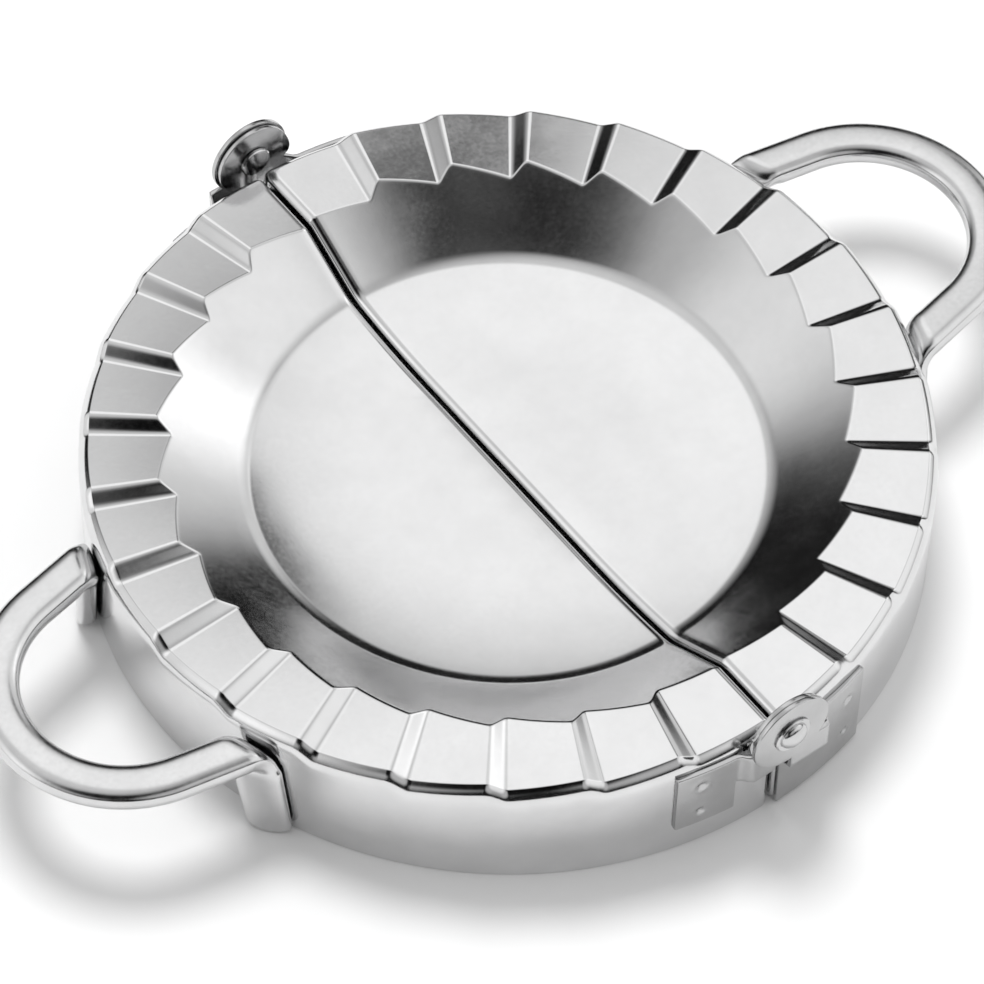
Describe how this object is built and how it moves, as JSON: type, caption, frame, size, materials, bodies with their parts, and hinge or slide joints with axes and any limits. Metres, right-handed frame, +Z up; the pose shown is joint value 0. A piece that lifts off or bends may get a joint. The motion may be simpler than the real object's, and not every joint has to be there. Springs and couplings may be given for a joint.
{
  "type": "empanada press",
  "caption": "Hinged sheet-steel empanada and dumpling press lying open, with a pleated sealing rim, a shallow dish in each half, loop handles and riveted hinges.",
  "frame": {"origin": "on the table, under the middle of the hinge line, with the press lying open", "axes": "+Z up; the hinge line runs along Y at a height of 16.05 mm; the right half and its handle are on +X, the left half and its handle on -X; the front hinge is at -Y"},
  "size_m": [0.1358, 0.1018, 0.021],
  "materials": {
    "polished_steel": "mirror-polished stainless sheet",
    "tube_steel": "polished stainless tube",
    "leaf_steel": "satin stainless sheet",
    "rivet_steel": "polished stainless rivet"
  },
  "bodies": {
    "right_half": {"right_shell": "polished_steel", "right_handle": "tube_steel", "front_outer_leaf": "leaf_steel", "rear_inner_leaf": "leaf_steel", "front_rivet": "rivet_steel"},
    "left_half": {"left_shell": "polished_steel", "left_handle": "tube_steel", "front_inner_leaf": "leaf_steel", "rear_outer_leaf": "leaf_steel", "rear_rivet": "rivet_steel"}
  },
  "joints": [
    {"name": "fold", "type": "hinge", "parent": "right_half", "child": "left_half", "pos_m": [0, 0, 0.01605], "axis": [0, 1, 0], "range_deg": [-1, 180]}
  ]
}
